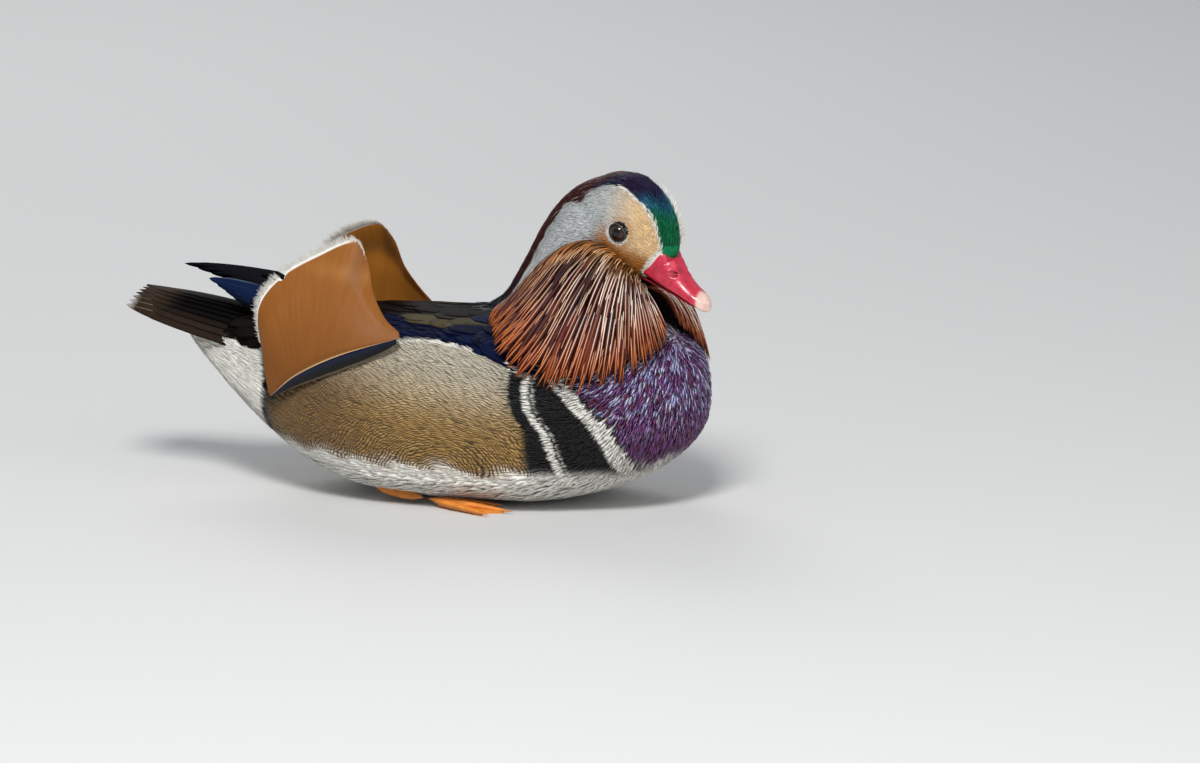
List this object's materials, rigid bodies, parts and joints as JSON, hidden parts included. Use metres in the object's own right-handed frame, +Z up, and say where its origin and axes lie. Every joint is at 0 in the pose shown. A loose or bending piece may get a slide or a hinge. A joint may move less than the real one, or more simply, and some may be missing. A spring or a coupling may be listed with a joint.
{
  "type": "mandarin duck",
  "caption": "Life-size drake mandarin duck at rest on its belly, head turned a little to its right, bill down, orange wing sails raised and feet tucked under.",
  "frame": {"origin": "middle of the flat of the belly, at floor level", "axes": "+X forward to the breast, +Y to the bird's left, +Z up"},
  "size_m": [0.317, 0.1262, 0.1746],
  "materials": {
    "belly": "soft white belly feathers; the bare part of the back between the wings is brown-black",
    "breast": "purple-maroon feathers with a blue and violet sheen, black and white bars at the side",
    "undertail": "soft white feathers",
    "neck": "short dark brown feathers at the throat, whitish at the side of the nape",
    "face": "short dense feathers, white behind the eye and golden buff before and below it",
    "crest": "long sleek feathers, maroon running into green-black, with a satin sheen",
    "bill": "crimson horn, glossy as if wet",
    "nail": "peach-white horn, glossy",
    "eye": "dark brown, clear and wet",
    "flank": "golden-buff feathers with very fine dark wavy lines",
    "wing": "blue-black feathers with a deep blue sheen",
    "ruff": "long pointed rust-coloured plumes with pale shafts",
    "sail": "satin orange-chestnut vane with a white fringe",
    "primary": "dark steel-blue flight feathers with silvery edges",
    "tail": "brown-black tail feathers with an olive sheen and pale shafts",
    "foot": "scaly orange skin"
  },
  "bodies": {
    "root": {"trunk": "belly", "breast": "breast", "undertail": "undertail", "neck": "neck", "head": "face", "crest": "crest", "bill_upper": "bill", "bill_nail": "nail", "bill_lower": "bill", "tail": "tail", "eye_right": "eye", "flank_right": "flank", "wing_right": "wing", "ruff_right": "ruff", "sail_right": "sail", "wingtip_right": "primary", "foot_right": "foot", "leg_right": "foot", "eye_left": "eye", "flank_left": "flank", "wing_left": "wing", "ruff_left": "ruff", "sail_left": "sail", "wingtip_left": "primary", "foot_left": "foot", "leg_left": "foot"}
  },
  "joints": []
}
